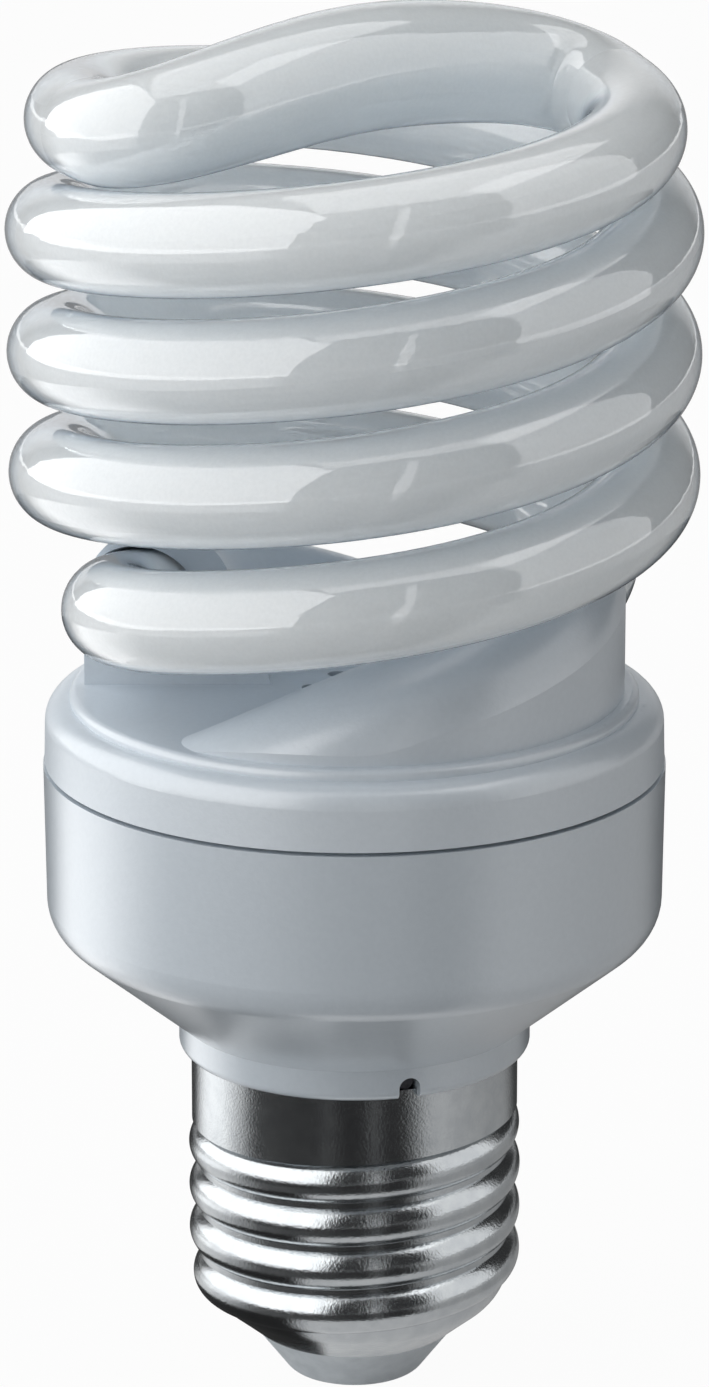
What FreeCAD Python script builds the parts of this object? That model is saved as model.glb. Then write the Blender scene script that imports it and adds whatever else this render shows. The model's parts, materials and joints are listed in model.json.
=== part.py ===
"""Spiral energy saving lamp with a screw cap, standing cap down. Millimetres, +Z up.

The origin is the middle of the cap's end contact. Angles are in degrees, counted anticlockwise
from +X as seen from above, so the front of the lamp is at 270. The two arms of the spiral and the
two hoods that hold them repeat after half a turn about Z.
"""
import FreeCAD, Part
import math
import os

# Discharge tube: two arms of a spiral, joined by a thicker bridge over the top
tube_d = 7.8
coil_d = 45.4
coil_lead = 19.06
coil_front_z = 69.98
coil_front_angle = 270.0
sealed_angle = 95.0
sealed_r = 15.2
sealed_dip = 3.0
dip_angle = 280.0
drawn_angle = 160.0
full_angle = 232.0
closing_angle = 800.0
top_angle = 916.0
top_r = 20.6
top_drop = 1.56
bridge_z = 106.0
bridge_d = 9.7
bridge_angle = 40.7
bridge_lead_in = 10.7
bridge_lead_out = 9.1
coil_step = 15.0
coil_span = 12
bridge_steps = 6
seal_d = 5.0
seal_length = 2.4

# Screw cap
contact_face_d = 5.6
contact_d = 9.2
contact_height = 0.5
contact_stem_d = 4.0
contact_stem_length = 1.9
insulator_foot_d = 10.4
insulator_round = 1.2
insulator_top_z = 7.3
lip_d = 16.1
lip_z = 4.25
cap_shoulder_z = 7.75
cap_shoulder_round = 4.0
cap_sheet = 0.4
thread_d = 26.3
thread_depth = 0.85
thread_pitch = 3.629
thread_left_z = 16.05
thread_left_angle = 180.0
thread_bite = 0.25
thread_gap = 0.16
thread_sink = 1.7
thread_first = -700.0
thread_first_full = -480.0
thread_last_full = 700.0
thread_last = 840.0
thread_step = 20.0
rim_step = 0.25
rim_z = 22.35
rim_tilt = 2.7
rim_slope = 0.8
bore_step_z = 23.2
cap_top_z = 28.4

# Lower housing
wall = 1.6
seam_z = 51.4
seam_gap = 0.3
body_top_d = 48.54
body_d = 48.2
body_corner_z = 38.85
body_round = 3.5
body_inner_round = 2.0
ledge_d = 42.6
ledge_z = 49.0
neck_wall = 0.96
neck_top_z = 30.46
neck_z = 27.9
neck_round = 0.7
spigot_wall = 1.55
spigot_z = 23.4
notch_angle = 288.0
notch_width = 1.7
notch_top_z = 29.7
fit_gap = 0.1
press_gap = 0.05

# Tube holder
cover_d = 48.34
cover_top_d = 48.1
cover_shoulder_z = 56.6
cover_round = 1.75
step_d = 44.3
step_round = 0.6
floor_z = 57.4
turret_d = 42.0
hood_wall = 1.3
hood_room = 0.65
hood_draft = 20.0
hood_tip_angle = 47.0
hood_tip_r = 19.0
hood_hollow_angle = 60.0
hood_face_angle = 180.0
tube_gap = 0.25
vent_d = 1.6
vent_places = [(-3.3, -0.7), (-1.3, 2.8)]

# Ballast board and its parts
board_thick = 1.6
pin_d = 1.0
pin_height = 1.6
lead_d = 0.5
lead_length = 4.4
lead_spread = 3.0
lead_bend = 0.8
capacitor_place = (0.5, 0.0)
capacitor_d = 10.0
capacitor_length = 17.0
capacitor_round = 0.8
choke_place = (-12.6, 0.0)
choke_width = 12.6
choke_depth = 6.0
choke_height = 11.0
choke_yoke = 2.6
choke_limb = 3.4
bobbin_wall = 0.6
winding_room = 0.3
toroid_place = (-0.6, 12.6)
toroid_d = 9.0
toroid_bore_d = 5.0
toroid_height = 4.0
toroid_wrap = 0.45
toroid_wrap_angle = 55.0
toroid_wraps = 3
film_round = 1.0
film_parts = {
    "resonant_capacitor": (9.8, -11.8, 9.5, 4.6, 9.0),
    "blocking_capacitor": (9.8, 11.6, 9.0, 5.0, 8.2)}
switch_size = (7.6, 2.8, 10.5)
switch_tab_d = 3.0
switch_places = {"switch_high": (11.6, -5.4), "switch_low": (11.6, 4.6)}
axial_lead_d = 0.7
axial_stub = 1.4
axial_parts = {
    "rectifier_diode_1": (-2.9, -12.2, 2.6, 4.6), "rectifier_diode_2": (-2.9, -16.4, 2.6, 4.6),
    "rectifier_diode_3": (-12.0, -9.0, 2.6, 4.6), "rectifier_diode_4": (-11.2, -12.8, 2.6, 4.6),
    "fuse_resistor": (12.6, -0.4, 3.2, 7.0), "start_diac": (-9.4, 14.4, 2.0, 4.0)}
input_choke_place = (-9.5, 9.5)
input_choke_d = 5.6
input_choke_length = 7.0
input_choke_waist = 0.8
input_choke_flange = 1.0
supply_lead_d = 1.2
supply_bend = 2.0
supply_centre_place = (0.5, 6.4)
supply_shell_r = 8.1
drop_z = 30.0

# Sizes that follow from those above
tube_r = tube_d / 2
coil_r = coil_d / 2
board_top_z = ledge_z + board_thick
cover_z = seam_z + seam_gap
floor_under_z = floor_z - hood_wall
body_bore_d = body_top_d - 2 * wall
thread_root_d = thread_d - 2 * thread_depth
rim_d = thread_d - 2 * rim_step
neck_d = rim_d + 2 * neck_wall
spigot_d = rim_d - 2 * cap_sheet - 2 * press_gap
spigot_bore_d = spigot_d - 2 * spigot_wall
hood_arch_r = tube_r + hood_room + hood_wall
ramp_slope = coil_lead / 360


def at(x, y, z):
    return FreeCAD.Vector(x, y, z)


def polar(radius, angle, z):
    turn = math.radians(angle)
    return at(radius * math.cos(turn), radius * math.sin(turn), z)


def half_turn(shape):
    other = shape.copy()
    other.rotate(at(0, 0, 0), at(0, 0, 1), 180)
    return other


def box(x, y, z, width, depth, height):
    """Block centred on x and y that stands on z."""
    return Part.makeBox(width, depth, height, at(x - width / 2, y - depth / 2, z))


def post(x, y, z, diameter, height):
    return Part.makeCylinder(diameter / 2, height, at(x, y, z))


def rounded_path(corners):
    """Edges through corners (point, radius), each corner rounded by a tangent arc; the ends stay sharp."""
    edges = []
    here = corners[0][0]
    for (before, _), (corner, radius), (after, _) in zip(corners, corners[1:], corners[2:]):
        back = (before - corner).normalize()
        ahead = (after - corner).normalize()
        half = back.getAngle(ahead) / 2
        if radius == 0:
            edges.append(Part.LineSegment(here, corner).toShape())
            here = corner
            continue
        reach = radius / math.tan(half)
        middle = corner + (back + ahead).normalize() * (radius / math.sin(half) - radius)
        if (corner + back * reach - here).Length > 1e-6:
            edges.append(Part.LineSegment(here, corner + back * reach).toShape())
        here = corner + ahead * reach
        edges.append(Part.Arc(corner + back * reach, middle, here).toShape())
    edges.append(Part.LineSegment(here, corners[-1][0]).toShape())
    return edges


def turned(outline):
    """Solid turned about Z from a closed outline of (diameter, z) corners; a third value rounds a corner."""
    corners = []
    for corner in outline + outline[:1]:
        radius = corner[2] if len(corner) > 2 else 0
        corners.append((at(corner[0] / 2, 0, corner[1]), radius))
    face = Part.Face(Part.Wire(rounded_path(corners)))
    return face.revolve(at(0, 0, 0), at(0, 0, 1), 360)


def round_section(centre, direction, diameter):
    return Part.Wire([Part.Circle(centre, direction, diameter / 2).toShape()])


def bent_wire(points, diameter, bend):
    """Round wire along straight runs joined by bends."""
    path = Part.Wire(rounded_path([(point, bend) for point in points]))
    start = round_section(points[0], points[1] - points[0], diameter)
    return path.makePipeShell([start], True, False)


def ease(share):
    share = max(0.0, min(1.0, share))
    return share * share * (3 - 2 * share)


def coil_point(angle):
    """Centre of the first arm: drawn in and dipped at its sealed end, closing in at the top."""
    grown = ease((angle - drawn_angle) / (full_angle - drawn_angle))
    dipped = max(0.0, (dip_angle - angle) / (dip_angle - sealed_angle)) ** 2
    closed = max(0.0, (angle - closing_angle) / (top_angle - closing_angle)) ** 2
    radius = sealed_r + (coil_r - sealed_r) * grown + (top_r - coil_r) * closed
    climb = (angle - coil_front_angle) * ramp_slope
    return polar(radius, angle, coil_front_z + climb - sealed_dip * dipped - top_drop * closed)


def bridge_point(share):
    """Centre of the bridge's first half, from the top of the first arm to the axis."""
    start = coil_point(top_angle)
    along = (start - coil_point(top_angle - 1)).normalize()
    middle = at(0, 0, bridge_z)
    poles = [start, start + along * bridge_lead_in, middle - polar(bridge_lead_out, bridge_angle, 0), middle]
    weights = [(1 - share) ** 3, 3 * share * (1 - share) ** 2, 3 * share ** 2 * (1 - share), share ** 3]
    point = at(0, 0, 0)
    for pole, weight in zip(poles, weights):
        point += pole * weight
    return point


def tube_line():
    """Curve along the middle of the whole tube, and its points from the first sealed end to the axis."""
    turns = round((top_angle - sealed_angle) / coil_step)
    points = [coil_point(sealed_angle + (top_angle - sealed_angle) * i / turns) for i in range(turns + 1)]
    points += [bridge_point(i / bridge_steps) for i in range(1, bridge_steps + 1)]
    mirrored = [at(-point.x, -point.y, point.z) for point in reversed(points[:-1])]
    line = Part.BSplineCurve()
    line.interpolate(points + mirrored)
    return line, points


def tube_run(line, marks, diameters):
    """Tube along the curve between the marked points, with a round section at each mark."""
    stops = [line.parameter(mark) for mark in marks]
    edges = [line.toShape(first, last) for first, last in zip(stops, stops[1:])]
    sections = []
    for stop, diameter in zip(stops, diameters):
        if diameter:
            sections.append(round_section(line.value(stop), line.tangent(stop)[0], diameter))
    return Part.Wire(edges).makePipeShell(sections, True, False)


def sealed_end():
    """Middle of the first arm's end face, and the direction in which it points."""
    line, points = tube_line()
    return points[0], line.tangent(line.FirstParameter)[0] * -1


def discharge_tube():
    line, points = tube_line()
    bridge_start = points[-1 - bridge_steps]
    marks = points[0:-1 - bridge_steps:coil_span] + [bridge_start]
    arm = tube_run(line, marks, [tube_d] + [0] * (len(marks) - 1))
    far_side = at(-bridge_start.x, -bridge_start.y, bridge_start.z)
    bridge = tube_run(line, [bridge_start, points[-1], far_side], [tube_d, bridge_d, tube_d])
    seal = Part.makeCone(tube_r, seal_d / 2, seal_length, *sealed_end())
    tube = arm.fuse([bridge, half_turn(arm), seal, half_turn(seal)])
    return tube.removeSplitter()


def centre_contact():
    stem_top = contact_height + contact_stem_length
    return turned([(0, 0), (contact_face_d, 0), (contact_d, contact_height),
                   (contact_stem_d, contact_height), (contact_stem_d, stem_top), (0, stem_top)])


def lip_inner_d():
    """Inner diameter of the shell's lower lip, one sheet inside its cone."""
    return lip_d - 2 * cap_sheet * math.hypot(1, shoulder_slope())


def shoulder_slope():
    return (thread_root_d - lip_d) / 2 / (cap_shoulder_z - lip_z)


def insulator_top_d():
    return lip_inner_d() + 2 * shoulder_slope() * (insulator_top_z - lip_z)


def cap_insulator():
    return turned([(contact_stem_d, contact_height), (insulator_foot_d, contact_height, insulator_round),
                   (lip_d, lip_z), (lip_inner_d(), lip_z),
                   (insulator_top_d(), insulator_top_z), (contact_stem_d, insulator_top_z)])


def thread_line(radius):
    """Curve along the foot of the thread's ridge, which sinks into the shell at both ends."""
    steps = round((thread_last - thread_first) / thread_step)
    points = []
    for i in range(steps + 1):
        angle = thread_first + (thread_last - thread_first) * i / steps
        rise = ease((angle - thread_first) / (thread_first_full - thread_first))
        fall = ease((thread_last - angle) / (thread_last - thread_last_full))
        height = thread_left_z + (angle - thread_left_angle) / 360 * thread_pitch
        points.append(polar(radius - thread_sink * (1 - rise * fall), angle, height))
    line = Part.BSplineCurve()
    line.interpolate(points)
    return line


def thread_ridge():
    """Rolled ridge of the cap's thread, an arc in section."""
    foot_r = thread_root_d / 2 - thread_bite
    line = thread_line(foot_r)
    start = line.value(line.FirstParameter)
    outward = at(start.x, start.y, 0).normalize()
    half = at(0, 0, (thread_pitch - thread_gap) / 2)
    crest = start + outward * (thread_d / 2 - foot_r)
    section = Part.Wire([Part.Arc(start - half, crest, start + half).toShape(),
                         Part.LineSegment(start + half, start - half).toShape()])
    sweep = Part.BRepOffsetAPI.MakePipeShell(Part.Wire([line.toShape()]))
    sweep.setBiNormalMode(at(0, 0, 1))
    sweep.add(section)
    sweep.build()
    sweep.makeSolid()
    return sweep.shape()


def cap_rim():
    """Plain rim of the shell; its lower edge is tilted, as the thread runs out under it."""
    rim = turned([(0, thread_left_z), (rim_d, thread_left_z), (rim_d, cap_top_z), (0, cap_top_z)])
    below = box(0, 0, -cap_top_z, 2 * rim_d, 2 * rim_d, cap_top_z)
    below.rotate(at(0, 0, 0), at(0, 1, 0), -rim_tilt)
    below.translate(at(0, 0, rim_z))
    return rim.cut(below)


def shell_bore():
    rim_bore_d = rim_d - 2 * cap_sheet
    root_bore_d = thread_root_d - 2 * cap_sheet - 2 * thread_bite
    cone_top_z = lip_z + (root_bore_d - lip_inner_d()) / 2 / shoulder_slope()
    return turned([(0, lip_z), (lip_inner_d(), lip_z), (root_bore_d, cone_top_z),
                   (root_bore_d, bore_step_z - rim_slope), (rim_bore_d, bore_step_z),
                   (rim_bore_d, cap_top_z), (0, cap_top_z)])


def screw_shell():
    core = turned([(0, lip_z), (lip_d, lip_z), (thread_root_d, cap_shoulder_z, cap_shoulder_round),
                   (thread_root_d, bore_step_z), (0, bore_step_z)])
    return core.fuse(cap_rim()).fuse(thread_ridge()).cut(shell_bore())


def lower_housing():
    slope = (body_d - neck_d) / 2 / (body_corner_z - neck_top_z)
    lift = wall * math.hypot(1, slope) / slope
    inner_corner_z = neck_top_z + lift + (ledge_d - neck_d) / 2 / slope
    bore_top_z = neck_top_z + lift + (spigot_bore_d - neck_d) / 2 / slope
    socket_d = rim_d + 2 * press_gap
    housing = turned([(body_top_d, seam_z), (body_d, body_corner_z, body_round), (neck_d, neck_top_z),
                      (neck_d, neck_z, neck_round), (socket_d, neck_z), (socket_d, cap_top_z),
                      (spigot_d, cap_top_z), (spigot_d, spigot_z), (spigot_bore_d, spigot_z),
                      (spigot_bore_d, bore_top_z), (ledge_d, inner_corner_z, body_inner_round),
                      (ledge_d, ledge_z), (body_bore_d, ledge_z), (body_bore_d, seam_z)])
    return housing.cut(lead_notch())


def lead_notch():
    """Round-topped slot through the neck for the lead to the screw shell."""
    start = spigot_bore_d / 2 - wall
    length = neck_d / 2 + wall - start
    straight_top = notch_top_z - notch_width / 2
    foot = neck_z - neck_round
    slot = Part.makeBox(length, notch_width, straight_top - foot, at(start, -notch_width / 2, foot))
    arch = Part.makeCylinder(notch_width / 2, length, at(start, 0, straight_top), at(1, 0, 0))
    slot = slot.fuse(arch)
    slot.rotate(at(0, 0, 0), at(0, 0, 1), notch_angle)
    return slot


def sector(inner_d, outer_d, first, last, z):
    """Flat piece of a ring between two angles."""
    middle = (first + last) / 2
    outer = Part.Arc(*[polar(outer_d / 2, angle, z) for angle in (first, middle, last)])
    inner = Part.Arc(*[polar(inner_d / 2, angle, z) for angle in (last, middle, first)])
    ends = [Part.LineSegment(polar(outer_d / 2, last, z), polar(inner_d / 2, last, z)),
            Part.LineSegment(polar(inner_d / 2, first, z), polar(outer_d / 2, first, z))]
    return Part.Face(Part.Wire([outer.toShape(), ends[0].toShape(), inner.toShape(), ends[1].toShape()]))


def hood_point(angle):
    """Middle of the first arm's hood, which climbs with the arm and ends in a sunken nose."""
    nose = max(0.0, (sealed_angle - angle) / (sealed_angle - hood_tip_angle)) ** 2
    sink = coil_point(hood_tip_angle).z + hood_arch_r - floor_z
    return polar(sealed_r + (hood_tip_r - sealed_r) * nose, angle, coil_point(angle).z - sink * nose)


def hood_section(centre, along, radius, depth):
    """Arch across a hood: upright on its outer side, leaning on its inner side."""
    outward = at(along.y, -along.x, 0).normalize()
    lean = math.radians(hood_draft)
    spring = centre + outward * radius
    crown = centre + at(0, 0, radius)
    shoulder = centre - outward * (radius * math.cos(lean)) + at(0, 0, radius * math.sin(lean))
    fall = depth + radius * math.sin(lean)
    inner_foot = shoulder - outward * (fall * math.tan(lean)) - at(0, 0, fall)
    outer_foot = spring - at(0, 0, depth)
    sides = [Part.LineSegment(*ends).toShape() for ends in
             ((shoulder, inner_foot), (inner_foot, outer_foot), (outer_foot, spring))]
    return Part.Wire([Part.Arc(spring, crown, shoulder).toShape()] + sides)


def hood_form(inset, first, last, foot):
    """Arched form along the first arm's hood between two angles, above a foot level and inside the turret."""
    steps = round((last - first) / coil_step)
    line = Part.BSplineCurve()
    line.interpolate([hood_point(first + (last - first) * i / steps) for i in range(steps + 1)])
    start, along = line.value(line.FirstParameter), line.tangent(line.FirstParameter)[0]
    height = hood_point(last).z + hood_arch_r - foot
    sweep = Part.BRepOffsetAPI.MakePipeShell(Part.Wire([line.toShape()]))
    sweep.setBiNormalMode(at(0, 0, 1))
    sweep.add(hood_section(start, along, hood_arch_r - inset, height))
    sweep.build()
    sweep.makeSolid()
    room = Part.makeCylinder(turret_d / 2 - inset, height, at(0, 0, foot), at(0, 0, 1), 180)
    room.rotate(at(0, 0, 0), at(0, 0, 1), hood_face_angle - 180)
    return sweep.shape().common(room)


def hood():
    return hood_form(0, hood_tip_angle, hood_face_angle + coil_step, floor_under_z)


def hood_hollow():
    """Room inside a hood, open to the housing below."""
    face_turn = math.degrees(hood_wall / sealed_r)
    return hood_form(hood_wall, hood_hollow_angle, hood_face_angle - face_turn, floor_under_z - hood_wall)


def tube_way():
    """Clear way for the first arm's sealed end into its hood."""
    line, points = tube_line()
    outside = coil_point(hood_face_angle + coil_step)
    return tube_run(line, [points[0], outside], [tube_d + 2 * tube_gap, 0])


def tube_holder():
    plug_d = body_bore_d - 2 * fit_gap
    plug_bore_d = plug_d - 2 * hood_wall
    cover = turned([(0, floor_z), (step_d, floor_z, step_round), (step_d, cover_shoulder_z),
                    (cover_top_d, cover_shoulder_z, cover_round), (cover_d, cover_z), (plug_d, cover_z),
                    (plug_d, board_top_z), (plug_bore_d, board_top_z), (plug_bore_d, floor_under_z),
                    (0, floor_under_z)])
    cuts = [hood_hollow(), tube_way()]
    for x, y in vent_places:
        cuts.append(post(x, y, floor_under_z, vent_d, 2 * hood_wall))
    cuts += [half_turn(cut) for cut in cuts]
    return cover.fuse([hood(), half_turn(hood())]).cut(cuts)


def ballast_board():
    return post(0, 0, ledge_z, body_bore_d - 2 * fit_gap, board_thick)


def lead_route(side):
    """Start, corner and pin top of a lead of the first arm's sealed end; side is +1 or -1."""
    end, ahead = sealed_end()
    across = at(-ahead.y, ahead.x, 0).normalize() * (side * lead_spread / 2)
    start = end + ahead * seal_length + across
    corner = start + ahead * lead_length
    return [start, corner, at(corner.x, corner.y, board_top_z + pin_height)]


def terminal_pin(side):
    pin_top = lead_route(side)[-1]
    return post(pin_top.x, pin_top.y, board_top_z, pin_d, pin_height)


def lead_wire(side):
    """Bare wire from a sealed end to the top of its pin."""
    return bent_wire(lead_route(side), lead_d, lead_bend)


def smoothing_capacitor():
    foot = ledge_z - capacitor_length
    can = turned([(0, foot), (capacitor_d, foot, capacitor_round), (capacitor_d, ledge_z), (0, ledge_z)])
    can.translate(at(*capacitor_place, 0))
    return can


def choke_parts():
    """Core, bobbin and winding of the lamp choke, hung under the board."""
    x, y = choke_place
    foot = ledge_z - choke_height
    window_height = choke_height - 2 * choke_yoke
    window_width = (choke_width - 2 * choke_limb) / 2
    core = box(x, y, foot, choke_width, choke_depth, choke_height)
    for side in (-1, 1):
        centre = x + side * (choke_limb + window_width) / 2
        core = core.cut(box(centre, y, foot + choke_yoke, window_width, choke_depth, window_height))
    low = foot + choke_yoke
    reach = choke_limb + 2 * window_width - 2 * winding_room
    spread = reach - choke_limb + choke_depth
    limb = box(x, y, low, choke_limb, choke_depth, window_height)
    tube = box(x, y, low, choke_limb + 2 * bobbin_wall, choke_depth + 2 * bobbin_wall, window_height)
    flanges = [box(x, y, z, reach, spread, bobbin_wall) for z in (low, low + window_height - bobbin_wall)]
    bobbin = tube.fuse(flanges).cut(limb)
    room = window_height - 2 * bobbin_wall
    winding = box(x, y, low + bobbin_wall, reach - winding_room, spread - winding_room, room).cut(tube)
    return {"choke_core": core, "choke_bobbin": bobbin, "choke_winding": winding}


def toroid_parts():
    """Drive transformer: a ferrite ring with short windings, which carry it on the board."""
    foot = ledge_z - toroid_wrap - toroid_height
    ring = turned([(toroid_bore_d, foot), (toroid_d, foot), (toroid_d, foot + toroid_height),
                   (toroid_bore_d, foot + toroid_height)])
    parts = {"drive_toroid": ring}
    for i in range(toroid_wraps):
        first = 360 / toroid_wraps * i
        flat = sector(toroid_bore_d - 2 * toroid_wrap, toroid_d + 2 * toroid_wrap, first,
                      first + toroid_wrap_angle, foot - toroid_wrap)
        wrap = flat.extrude(at(0, 0, toroid_height + 2 * toroid_wrap)).cut(ring)
        parts["toroid_winding_%d" % (i + 1)] = wrap
    for part in parts.values():
        part.translate(at(*toroid_place, 0))
    return parts


def film_capacitor(x, y, width, depth, height):
    block = box(x, y, ledge_z - height, width, depth, height)
    upright = [edge for edge in block.Edges if edge.BoundBox.ZLength > film_round]
    return block.makeFillet(film_round, upright)


def switch(x, y):
    """Flat-pack transistor with a hole through its tab."""
    width, depth, height = switch_size
    foot = ledge_z - height
    hole = Part.makeCylinder(switch_tab_d / 2, depth, at(x, y - depth / 2, foot + switch_tab_d), at(0, 1, 0))
    return box(x, y, foot, width, depth, height).cut(hole)


def axial_part(x, y, diameter, length):
    """Cylinder that lies against the board, with a bent lead at each end."""
    z = ledge_z - diameter / 2
    body = Part.makeCylinder(diameter / 2, length, at(x - length / 2, y, z), at(1, 0, 0))
    for side in (-1, 1):
        end = x + side * length / 2
        bend = at(end + side * axial_stub, y, z)
        lead = bent_wire([at(end, y, z), bend, at(bend.x, y, ledge_z)], axial_lead_d, axial_lead_d)
        body = body.fuse(lead)
    return body


def input_choke():
    foot = ledge_z - input_choke_length
    waist_d = input_choke_d - 2 * input_choke_waist
    low, high = foot + input_choke_flange, ledge_z - input_choke_flange
    drum = turned([(0, foot), (input_choke_d, foot), (input_choke_d, low), (waist_d, low), (waist_d, high),
                   (input_choke_d, high), (input_choke_d, ledge_z), (0, ledge_z)])
    drum.translate(at(*input_choke_place, 0))
    return drum


def supply_lead_centre():
    """Insulated lead from the board down through the cap to the end contact."""
    x, y = supply_centre_place
    stem_top = contact_height + contact_stem_length
    points = [at(x, y, ledge_z), at(x, y, drop_z), at(0, 0, spigot_z), at(0, 0, stem_top)]
    return bent_wire(points, supply_lead_d, supply_bend)


def supply_lead_shell():
    """Insulated lead from the board through the neck's notch, laid on the shell's rim."""
    z = cap_top_z + supply_lead_d / 2
    start = polar(supply_shell_r, notch_angle, ledge_z)
    points = [start, at(start.x, start.y, z), polar(rim_d / 2 - cap_sheet / 2, notch_angle, z)]
    return bent_wire(points, supply_lead_d, supply_bend)


def all_parts():
    parts = {"discharge_tube": discharge_tube(), "tube_holder": tube_holder(),
             "lower_housing": lower_housing(), "screw_shell": screw_shell(),
             "cap_insulator": cap_insulator(), "centre_contact": centre_contact(),
             "ballast_board": ballast_board(), "smoothing_capacitor": smoothing_capacitor(),
             "input_choke": input_choke(), "supply_lead_centre": supply_lead_centre(),
             "supply_lead_shell": supply_lead_shell()}
    parts.update(choke_parts())
    parts.update(toroid_parts())
    for i, side in enumerate((-1, 1), 1):
        parts["terminal_pin_%d" % i] = terminal_pin(side)
        parts["terminal_pin_%d" % (i + 2)] = half_turn(terminal_pin(side))
        parts["lead_wire_%d" % i] = lead_wire(side)
        parts["lead_wire_%d" % (i + 2)] = half_turn(lead_wire(side))
    for name, place in film_parts.items():
        parts[name] = film_capacitor(*place)
    for name, place in switch_places.items():
        parts[name] = switch(*place)
    for name, place in axial_parts.items():
        parts[name] = axial_part(*place)
    return parts


os.makedirs("parts", exist_ok=True)
for name, shape in all_parts().items():
    solid = shape.Solids[0] if len(shape.Solids) == 1 else shape
    print(name, len(shape.Solids), solid.isValid(), round(solid.Volume, 1))
    solid.exportStep("parts/%s.step" % name)
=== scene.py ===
import json
import math

import bpy
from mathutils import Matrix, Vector

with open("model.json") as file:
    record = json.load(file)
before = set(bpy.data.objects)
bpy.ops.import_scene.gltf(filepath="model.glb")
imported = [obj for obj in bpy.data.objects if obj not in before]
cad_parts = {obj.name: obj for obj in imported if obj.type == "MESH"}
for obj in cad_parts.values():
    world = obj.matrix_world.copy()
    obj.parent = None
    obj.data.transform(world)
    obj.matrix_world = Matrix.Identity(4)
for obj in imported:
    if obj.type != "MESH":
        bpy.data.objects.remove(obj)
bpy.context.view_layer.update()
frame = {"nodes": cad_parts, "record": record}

MM = 0.001

# Camera: angle above the horizon, distance and aim height, and the lens on its sensor
VIEW_ELEVATION = math.radians(17.19)
VIEW_DISTANCE = 500 * MM
AIM_HEIGHT = 56.67 * MM
LENS, SENSOR = 166.8, 36
NEAREST = 0.01

# Studio: azimuths are counted from the camera's side, to the camera's right. Each GLOSS is the radiance of a
# second panel, GLOSS_STEP nearer than the first, that only reflections see
KEY_AZIMUTH, KEY_DISTANCE, KEY_WIDTH, KEY_HEIGHT = -80, 0.60, 1.92, 1.65
KEY_RADIANCE, KEY_GLOSS = 1.70, 0.25
FILL_AZIMUTH, FILL_DISTANCE, FILL_WIDTH, FILL_HEIGHT = 80, 0.70, 0.75, 1.90
FILL_RADIANCE, FILL_GLOSS = 0.40, 0.60
STRIP_AZIMUTH, STRIP_DISTANCE, STRIP_WIDTH, STRIP_HEIGHT = 13, 0.60, 0.045, 0.90
STRIP_RADIANCE = 1.0
TOP_FRONT, TOP_BACK, TOP_LEFT, TOP_RIGHT, TOP_HEIGHT = -0.52, 0.70, -0.30, 0.75, 1.10
TOP_RADIANCE, TOP_GLOSS = 0.92, 0.20
GLOSS_STEP = 0.01
FLOOR_SIZE = 8.0
FLOOR_GREY = 0.55
FLOOR_GLOW = 0.96
ROOM_GREY = 0.04
# Reflections find the room white straight behind the lamp, between these values of the direction's Y
BEHIND_FROM, BEHIND_TO = 0.85, 1.0

# Glowing cards round the lamp's foot that only reflections see, from the lowest up: reach, and glow by
# azimuth. They are painted reflections, dark and bright, on the lamp's gloss
CARD_SIDES = 24
CARD_STEP = 0.05 * MM
PAINTED_REFLECTION_CARDS = {
    "outer_card": (1.60, [
        (-180, 0.3), (-140, 0.3), (-112, 0.6), (-28, 0.8), (-20, 0.12), (10, 0.12), (13, 0.9), (16, 0.12),
        (50, 0.12), (58, 0.7), (112, 0.6), (150, 0.3)]),
    "floor_card": (215 * MM, [
        (-180, 0.04), (-140, 0.04), (-122, 1.6), (-100, 1.6), (-70, 0.06), (-40, 0.03), (-24, 0.03),
        (-17, 0.10), (-10, 0.03), (9, 0.03), (13, 0.20), (17, 0.03), (34, 0.03), (50, 0.62), (64, 0.55),
        (95, 0.42), (124, 0.36), (142, 0.05), (180, 0.04)]),
    "mid_card": (58 * MM, [
        (-180, 0.04), (-140, 0.06), (-120, 0.9), (-100, 0.9), (-60, 0.12), (9, 0.03), (13, 0.20),
        (17, 0.03), (34, 0.03), (50, 0.45), (95, 0.38), (140, 0.30), (180, 0.15)]),
    "inner_card": (26 * MM, [
        (-180, 0.05), (-36, 0.02), (-26, 0.70), (30, 0.60), (110, 0.45), (150, 0.10)]),
}

# Painted shade on the tube's rim, a grey in its colour where the glass turns away: where that grey begins
# and is full, by how far the glass turns away, its share and its colour
PAINTED_RIM_FROM, PAINTED_RIM_TO, PAINTED_RIM_SHARE = 0.72, 0.92, 0.9
PAINTED_RIM_GREY = (0.13, 0.145, 0.16)

# Copper windings: scale of the turns, and how far they sway
COPPER_TURNS, COPPER_SWAY = 700, 0.6

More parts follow.
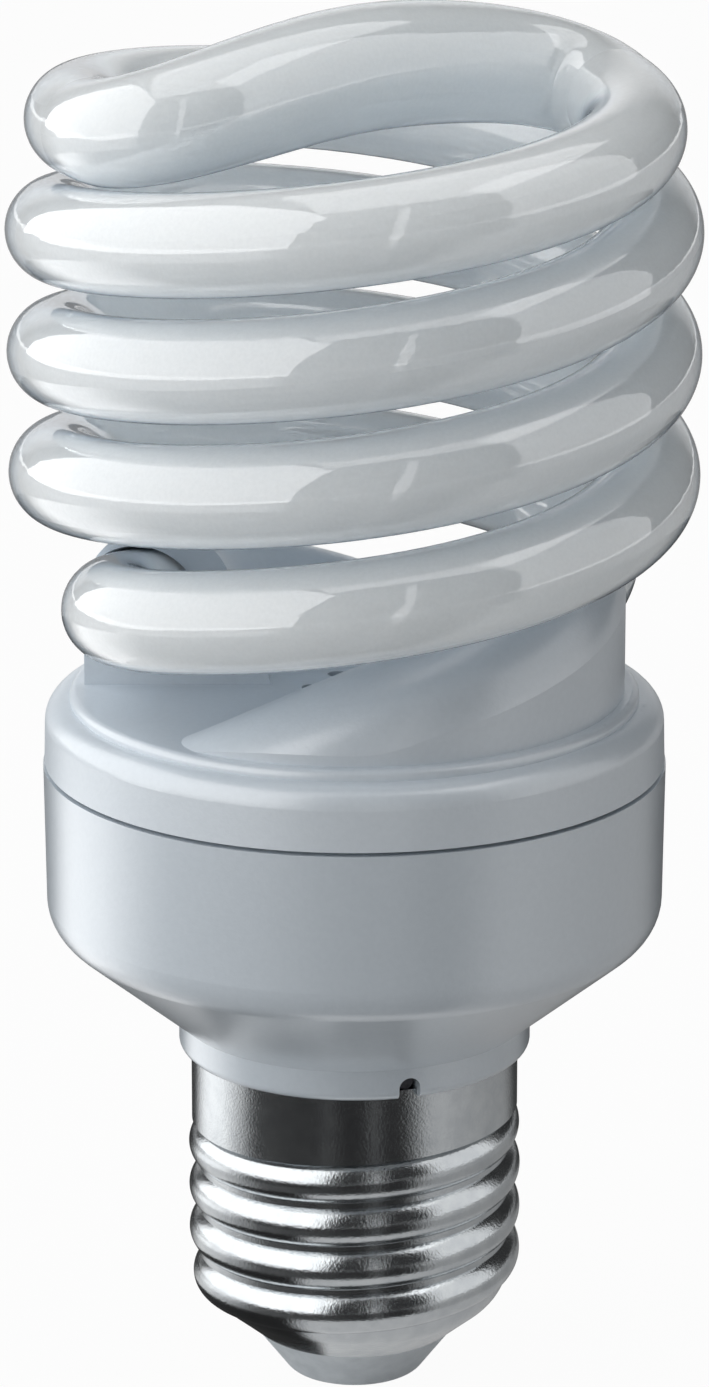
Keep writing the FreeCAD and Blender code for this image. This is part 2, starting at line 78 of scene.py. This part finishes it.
# Small parts by slot: dark and light colour, size of the specks, span of roughness, and metal
SPECKLED = {
    "ferrite": ((0.05, 0.05, 0.055), (0.12, 0.12, 0.13), 0.4 * MM, (0.5, 0.7), 0.0),
    "bobbin_plastic": ((0.03, 0.03, 0.03), (0.06, 0.06, 0.06), 0.5 * MM, (0.4, 0.5), 0.0),
    "capacitor_sleeve": ((0.03, 0.035, 0.05), (0.06, 0.07, 0.1), 1 * MM, (0.2, 0.3), 0.0),
    "film_coating": ((0.28, 0.06, 0.03), (0.42, 0.12, 0.06), 0.8 * MM, (0.2, 0.35), 0.0),
    "moulding_black": ((0.02, 0.02, 0.02), (0.05, 0.05, 0.05), 0.3 * MM, (0.5, 0.65), 0.0),
    "resistor_coating": ((0.42, 0.46, 0.34), (0.56, 0.60, 0.46), 0.6 * MM, (0.3, 0.4), 0.0),
    "tinned_wire": ((0.58, 0.58, 0.57), (0.76, 0.76, 0.74), 0.3 * MM, (0.25, 0.4), 1.0),
    "lead_sleeve": ((0.03, 0.03, 0.035), (0.07, 0.07, 0.08), 0.5 * MM, (0.4, 0.5), 0.0),
}


def shader_of(material):
    return material.node_tree.nodes["Principled BSDF"]


def principled(name, **sockets):
    """New material with one shader, whose even values are set on its own sockets."""
    material = bpy.data.materials.new(name)
    material.use_nodes = True
    for socket, value in sockets.items():
        shader_of(material).inputs[socket.replace("_", " ")].default_value = value
    return material


def empty_tree(owner):
    """Cleared node tree of a material or a world."""
    owner.use_nodes = True
    owner.node_tree.nodes.clear()
    return owner.node_tree


def noise(material, size, detail, stretch=(1, 1, 1)):
    """Noise whose features are about size metres across, in the lamp's own frame."""
    nodes, links = material.node_tree.nodes, material.node_tree.links
    place = nodes.new("ShaderNodeTexCoord")
    mapping = nodes.new("ShaderNodeMapping")
    mapping.inputs["Scale"].default_value = stretch
    texture = nodes.new("ShaderNodeTexNoise")
    texture.inputs["Scale"].default_value = 1 / size
    texture.inputs["Detail"].default_value = detail
    links.new(place.outputs["Object"], mapping.inputs["Vector"])
    links.new(mapping.outputs["Vector"], texture.inputs["Vector"])
    return texture.outputs["Fac"]


def vary_colour(material, factor, dark, light, spread=(0.35, 0.65)):
    """Base colour that wanders between two near colours."""
    nodes, links = material.node_tree.nodes, material.node_tree.links
    ramp = nodes.new("ShaderNodeValToRGB")
    for stop, position, colour in zip(ramp.color_ramp.elements, spread, (dark, light)):
        stop.position = position
        stop.color = (*colour, 1)
    links.new(factor, ramp.inputs["Fac"])
    links.new(ramp.outputs["Color"], shader_of(material).inputs["Base Color"])


def spread_to(material, factor, low, high, socket):
    """Leads a factor to a socket of the shader, spread from low to high."""
    nodes, links = material.node_tree.nodes, material.node_tree.links
    span = nodes.new("ShaderNodeMapRange")
    span.inputs["To Min"].default_value = low
    span.inputs["To Max"].default_value = high
    links.new(factor, span.inputs["Value"])
    links.new(span.outputs["Result"], shader_of(material).inputs[socket])


def vary_roughness(material, factor, low, high):
    """Roughness that wanders between two near values."""
    spread_to(material, factor, low, high, "Roughness")


def add_bump(material, factor, height):
    """Bump whose full height is given in metres."""
    nodes, links = material.node_tree.nodes, material.node_tree.links
    bump = nodes.new("ShaderNodeBump")
    bump.inputs["Distance"].default_value = height
    links.new(factor, bump.inputs["Height"])
    links.new(bump.outputs["Normal"], shader_of(material).inputs["Normal"])


def tube_glass():
    """White powder coat under clear glass: glossy, with painted shade at the rim, a grey painted into its
    colour where the glass turns away, and the gloss taken off there.
    """
    material = principled("tube_glass", Roughness=0.03, IOR=1.6, Specular_IOR_Level=0.6,
                          Coat_Weight=0.7, Coat_Roughness=0.0, Coat_IOR=1.6,
                          Subsurface_Weight=1.0, Subsurface_Scale=20 * MM, Subsurface_Radius=(1, 1, 1))
    vary_colour(material, noise(material, 0.3 * MM, 5), (0.78, 0.865, 0.94), (0.81, 0.895, 0.97))
    nodes, links = material.node_tree.nodes, material.node_tree.links
    shader = shader_of(material)
    powder = shader.inputs["Base Color"].links[0].from_socket
    side = nodes.new("ShaderNodeLayerWeight")
    side.inputs["Blend"].default_value = 0.5
    painted_rim = nodes.new("ShaderNodeMapRange")
    painted_rim.interpolation_type = "SMOOTHSTEP"
    painted_rim.inputs["From Min"].default_value = PAINTED_RIM_FROM
    painted_rim.inputs["From Max"].default_value = PAINTED_RIM_TO
    painted_rim.inputs["To Max"].default_value = PAINTED_RIM_SHARE
    # Painted shade: the rim's grey stands in for the clear glass wall seen edge on, and the gloss fades
    # there so it shows as a dark outline
    mix = nodes.new("ShaderNodeMix")
    mix.data_type = "RGBA"
    first, second = [socket for socket in mix.inputs if socket.type == "RGBA"]
    second.default_value = (*PAINTED_RIM_GREY, 1)
    links.new(side.outputs["Facing"], painted_rim.inputs["Value"])
    links.new(painted_rim.outputs["Result"], mix.inputs["Factor"])
    links.new(powder, first)
    result = [socket for socket in mix.outputs if socket.type == "RGBA"][0]
    links.new(result, shader.inputs["Base Color"])
    for socket in ("Coat Weight", "Specular IOR Level"):
        spread_to(material, painted_rim.outputs["Result"], shader.inputs[socket].default_value, 0, socket)
    return material


def white_plastic(name, dark, light, coat):
    """Satin moulding with a fine grain."""
    material = principled(name, IOR=1.65, Specular_IOR_Level=1.0, Coat_Weight=coat, Coat_Roughness=0.25,
                          Coat_IOR=1.6)
    vary_colour(material, noise(material, 0.5 * MM, 5), dark, light)
    vary_roughness(material, noise(material, 3 * MM, 3), 0.27, 0.31)
    add_bump(material, noise(material, 0.25 * MM, 2), 0.012 * MM)
    return material


def cap_metal():
    """Nickel plated sheet, bright with a fine grain."""
    material = principled("cap_metal", Metallic=1.0)
    vary_colour(material, noise(material, 1.5 * MM, 4), (0.50, 0.525, 0.545), (0.56, 0.585, 0.60))
    vary_roughness(material, noise(material, 0.8 * MM, 4), 0.15, 0.20)
    add_bump(material, noise(material, 0.2 * MM, 3), 0.02 * MM)
    return material


def cap_glass():
    """Pale insulating glass, dull and slightly cloudy."""
    material = principled("cap_glass", IOR=1.5)
    vary_colour(material, noise(material, 1.2 * MM, 5), (0.66, 0.71, 0.75), (0.74, 0.79, 0.83))
    vary_roughness(material, noise(material, 2 * MM, 3), 0.45, 0.6)
    add_bump(material, noise(material, 0.4 * MM, 3), 0.015 * MM)
    return material


def contact_metal():
    """Tinned end contact."""
    material = principled("contact_metal", Metallic=1.0)
    vary_colour(material, noise(material, 0.8 * MM, 4), (0.58, 0.58, 0.58), (0.74, 0.74, 0.73))
    vary_roughness(material, noise(material, 0.6 * MM, 4), 0.25, 0.45)
    add_bump(material, noise(material, 0.5 * MM, 3), 0.03 * MM)
    return material


def board_laminate():
    """Brown paper laminate with its fibres along X."""
    material = principled("board_laminate", IOR=1.5)
    fibres = noise(material, 0.5 * MM, 6, (0.2, 1, 1))
    vary_colour(material, fibres, (0.42, 0.28, 0.13), (0.56, 0.40, 0.21))
    vary_roughness(material, noise(material, 1 * MM, 3), 0.4, 0.6)
    return material


def speckled(name, dark, light, size, rough, metal):
    """Small parts of the ballast: an uneven colour, roughness and surface."""
    material = principled(name, Metallic=metal)
    vary_colour(material, noise(material, size, 4), dark, light)
    vary_roughness(material, noise(material, 2 * size, 3), *rough)
    add_bump(material, noise(material, size, 3), 0.02 * MM)
    return material


def copper_wire():
    """Enamelled copper, wound in fine turns about Z."""
    material = principled("copper_wire", Metallic=1.0)
    nodes, links = material.node_tree.nodes, material.node_tree.links
    place = nodes.new("ShaderNodeTexCoord")
    turns = nodes.new("ShaderNodeTexWave")
    turns.bands_direction = "Z"
    turns.inputs["Scale"].default_value = COPPER_TURNS
    turns.inputs["Distortion"].default_value = COPPER_SWAY
    links.new(place.outputs["Object"], turns.inputs["Vector"])
    # Painted shade: each turn's colour darkens into the groove where the bump sinks between turns
    vary_colour(material, turns.outputs["Fac"], (0.38, 0.16, 0.07), (0.78, 0.42, 0.22), (0.0, 1.0))
    vary_roughness(material, noise(material, 0.6 * MM, 3), 0.2, 0.35)
    add_bump(material, turns.outputs["Fac"], 0.15 * MM)
    return material


def materials():
    """The materials by slot."""
    looks = {
        "tube_glass": tube_glass(),
        # Painted light: the holder's white is lighter than the housing's, though both are the same moulding,
        # to make up for the tube's shadow on the holder
        "holder_plastic": white_plastic("holder_plastic", (0.65, 0.71, 0.765), (0.67, 0.73, 0.785), 0.0),
        "housing_plastic": white_plastic("housing_plastic", (0.60, 0.665, 0.725), (0.62, 0.685, 0.745), 1.0),
        "cap_metal": cap_metal(),
        "cap_glass": cap_glass(),
        "contact_metal": contact_metal(),
        "board_laminate": board_laminate(),
        "copper_wire": copper_wire(),
    }
    for slot, look in SPECKLED.items():
        looks[slot] = speckled(slot, *look)
    return looks


def dress_nodes():
    """Gives each CAD node the material of its slot."""
    looks = materials()
    for part in frame["record"]["subparts"]:
        node = frame["nodes"][part["node"]]
        node.data.materials.clear()
        node.data.materials.append(looks[part["material_slot"]])


def around(azimuth, distance, height):
    """Point round the lamp; azimuth 0 is the camera's side."""
    turn = math.radians(azimuth)
    return Vector((distance * math.sin(turn), -distance * math.cos(turn), height))


def panel(name, width, height, radiance, place, rotation, gloss_only):
    """Light panel of even radiance; one for gloss only is seen just by reflections."""
    light = bpy.data.lights.new(name, "AREA")
    light.shape = "RECTANGLE"
    light.size = width
    light.size_y = height
    light.energy = radiance * math.pi * width * height
    lamp = bpy.data.objects.new(name, light)
    lamp.location = place
    lamp.rotation_euler = rotation
    lamp.visible_camera = False
    lamp.visible_diffuse = not gloss_only
    bpy.context.scene.collection.objects.link(lamp)


def softbox(name, azimuth, distance, width, height, radiance, gloss=0.0):
    """Panel that stands on the floor and faces the lamp's axis, and one before it for gloss only."""
    upright = (math.pi / 2, 0, math.radians(azimuth))
    panel(name, width, height, radiance, around(azimuth, distance, height / 2), upright, False)
    if gloss:
        nearer = around(azimuth, distance - GLOSS_STEP, height / 2)
        panel(name, width, height, gloss, nearer, upright, True)


def top_light():
    """Panel over the lamp that faces down, and one below it for gloss only."""
    middle = Vector(((TOP_LEFT + TOP_RIGHT) / 2, (TOP_FRONT + TOP_BACK) / 2, TOP_HEIGHT))
    size = (TOP_RIGHT - TOP_LEFT, TOP_BACK - TOP_FRONT)
    panel("top_light", *size, TOP_RADIANCE, middle, (0, 0, 0), False)
    panel("top_light", *size, TOP_GLOSS, middle - Vector((0, 0, GLOSS_STEP)), (0, 0, 0), True)


def flat_mesh(name, points, material):
    """Flat piece of the stage."""
    mesh = bpy.data.meshes.new(name)
    mesh.from_pydata(points, [], [list(range(len(points)))])
    mesh.materials.append(material)
    piece = bpy.data.objects.new(name, mesh)
    bpy.context.scene.collection.objects.link(piece)
    return piece


def math_node(tree, operation, first, second):
    """Output of a math node that joins two sockets, or a socket and a number."""
    node = tree.nodes.new("ShaderNodeMath")
    node.operation = operation
    tree.links.new(first, node.inputs[0])
    if isinstance(second, float):
        node.inputs[1].default_value = second
    else:
        tree.links.new(second, node.inputs[1])
    return node.outputs[0]


def bounced_rays(tree, path):
    """1 for rays that come from gloss or through glass."""
    return math_node(tree, "MAXIMUM", path.outputs["Is Glossy Ray"], path.outputs["Is Transmission Ray"])


def mix_to(tree, factor, first, second, output):
    """Mixes two shaders into the tree's output."""
    mix = tree.nodes.new("ShaderNodeMixShader")
    out = tree.nodes.new(output)
    tree.links.new(factor, mix.inputs[0])
    tree.links.new(first.outputs[0], mix.inputs[1])
    tree.links.new(second.outputs[0], mix.inputs[2])
    tree.links.new(mix.outputs[0], out.inputs["Surface"])


def floor_material():
    """Pale floor that stays white to the camera and in reflections, and keeps the lamp's shadow."""
    material = bpy.data.materials.new("floor_white")
    tree = empty_tree(material)
    path = tree.nodes.new("ShaderNodeLightPath")
    seen = math_node(tree, "MAXIMUM", path.outputs["Is Camera Ray"], bounced_rays(tree, path))
    share = math_node(tree, "MULTIPLY", seen, FLOOR_GLOW)
    plain = tree.nodes.new("ShaderNodeBsdfDiffuse")
    plain.inputs["Color"].default_value = (FLOOR_GREY, FLOOR_GREY, FLOOR_GREY, 1)
    mix_to(tree, share, plain, tree.nodes.new("ShaderNodeEmission"), "ShaderNodeOutputMaterial")
    return material


def painted_reflection_material(reflection_glows):
    """Glow round the lamp, by azimuth from the camera's side: painted reflections, dark and bright."""
    material = bpy.data.materials.new("painted_reflection_glow")
    tree = empty_tree(material)
    place = tree.nodes.new("ShaderNodeTexCoord")
    turn = tree.nodes.new("ShaderNodeTexGradient")
    turn.gradient_type = "RADIAL"
    ramp = tree.nodes.new("ShaderNodeValToRGB")
    stops = ramp.color_ramp.elements
    while len(stops) < len(reflection_glows):
        stops.new(0.5)
    for stop, (azimuth, grey) in zip(stops, reflection_glows):
        stop.position = 0.5 + azimuth / 360
        stop.color = (grey, grey, grey, 1)
    glow = tree.nodes.new("ShaderNodeEmission")
    out = tree.nodes.new("ShaderNodeOutputMaterial")
    tree.links.new(place.outputs["Object"], turn.inputs["Vector"])
    tree.links.new(turn.outputs["Fac"], ramp.inputs["Fac"])
    tree.links.new(ramp.outputs["Color"], glow.inputs["Color"])
    tree.links.new(glow.outputs[0], out.inputs["Surface"])
    return material


def floor_card(name, reach, height, reflection_glows):
    """Glowing card round the lamp's foot that only reflections see: it paints reflections onto the lamp's
    gloss.
    """
    rim = [around(360 / CARD_SIDES * i, reach, 0) for i in range(CARD_SIDES)]
    card = flat_mesh(name, [(-point.y, point.x, 0) for point in rim], painted_reflection_material(reflection_glows))
    card.location.z = height
    card.rotation_euler.z = -math.pi / 2
    card.visible_camera = False
    card.visible_diffuse = False
    card.visible_shadow = False
    card.visible_transmission = False


def studio():
    """Floor with its cards, and the lights."""
    half = FLOOR_SIZE / 2
    corners = [(-half, -half, 0), (half, -half, 0), (half, half, 0), (-half, half, 0)]
    flat_mesh("floor", corners, floor_material())
    for layer, (name, (reach, reflection_glows)) in enumerate(PAINTED_REFLECTION_CARDS.items(), 1):
        floor_card(name, reach, layer * CARD_STEP, reflection_glows)
    softbox("key_light", KEY_AZIMUTH, KEY_DISTANCE, KEY_WIDTH, KEY_HEIGHT, KEY_RADIANCE, KEY_GLOSS)
    softbox("fill_light", FILL_AZIMUTH, FILL_DISTANCE, FILL_WIDTH, FILL_HEIGHT, FILL_RADIANCE, FILL_GLOSS)
    top_light()
    softbox("strip_light", STRIP_AZIMUTH, STRIP_DISTANCE, STRIP_WIDTH, STRIP_HEIGHT, STRIP_RADIANCE)


def room():
    """Dim room that is white to the camera, and white behind the lamp in reflections."""
    world = bpy.data.worlds.new("room")
    tree = empty_tree(world)
    path = tree.nodes.new("ShaderNodeLightPath")
    place = tree.nodes.new("ShaderNodeTexCoord")
    split = tree.nodes.new("ShaderNodeSeparateXYZ")
    behind = tree.nodes.new("ShaderNodeMapRange")
    behind.inputs["From Min"].default_value = BEHIND_FROM
    behind.inputs["From Max"].default_value = BEHIND_TO
    tree.links.new(place.outputs["Generated"], split.inputs[0])
    tree.links.new(split.outputs["Y"], behind.inputs["Value"])
    shown = math_node(tree, "MULTIPLY", bounced_rays(tree, path), behind.outputs["Result"])
    seen = math_node(tree, "MAXIMUM", path.outputs["Is Camera Ray"], shown)
    dim = tree.nodes.new("ShaderNodeBackground")
    dim.inputs["Color"].default_value = (ROOM_GREY, ROOM_GREY, ROOM_GREY, 1)
    white = tree.nodes.new("ShaderNodeBackground")
    white.inputs["Color"].default_value = (1, 1, 1, 1)
    mix_to(tree, seen, dim, white, "ShaderNodeOutputWorld")
    bpy.context.scene.world = world


def camera():
    """Camera at the photograph's angle."""
    lens = bpy.data.cameras.new("camera")
    lens.lens = LENS
    lens.sensor_width = SENSOR
    lens.clip_start = NEAREST
    viewer = bpy.data.objects.new("camera", lens)
    aim = Vector((0, 0, AIM_HEIGHT))
    level = VIEW_DISTANCE * math.cos(VIEW_ELEVATION)
    viewer.location = aim + Vector((0, -level, VIEW_DISTANCE * math.sin(VIEW_ELEVATION)))
    viewer.rotation_euler = (aim - viewer.location).to_track_quat("-Z", "Y").to_euler()
    bpy.context.scene.collection.objects.link(viewer)
    bpy.context.scene.camera = viewer


dress_nodes()
studio()
room()
camera()
bpy.context.scene.view_settings.view_transform = "Standard"
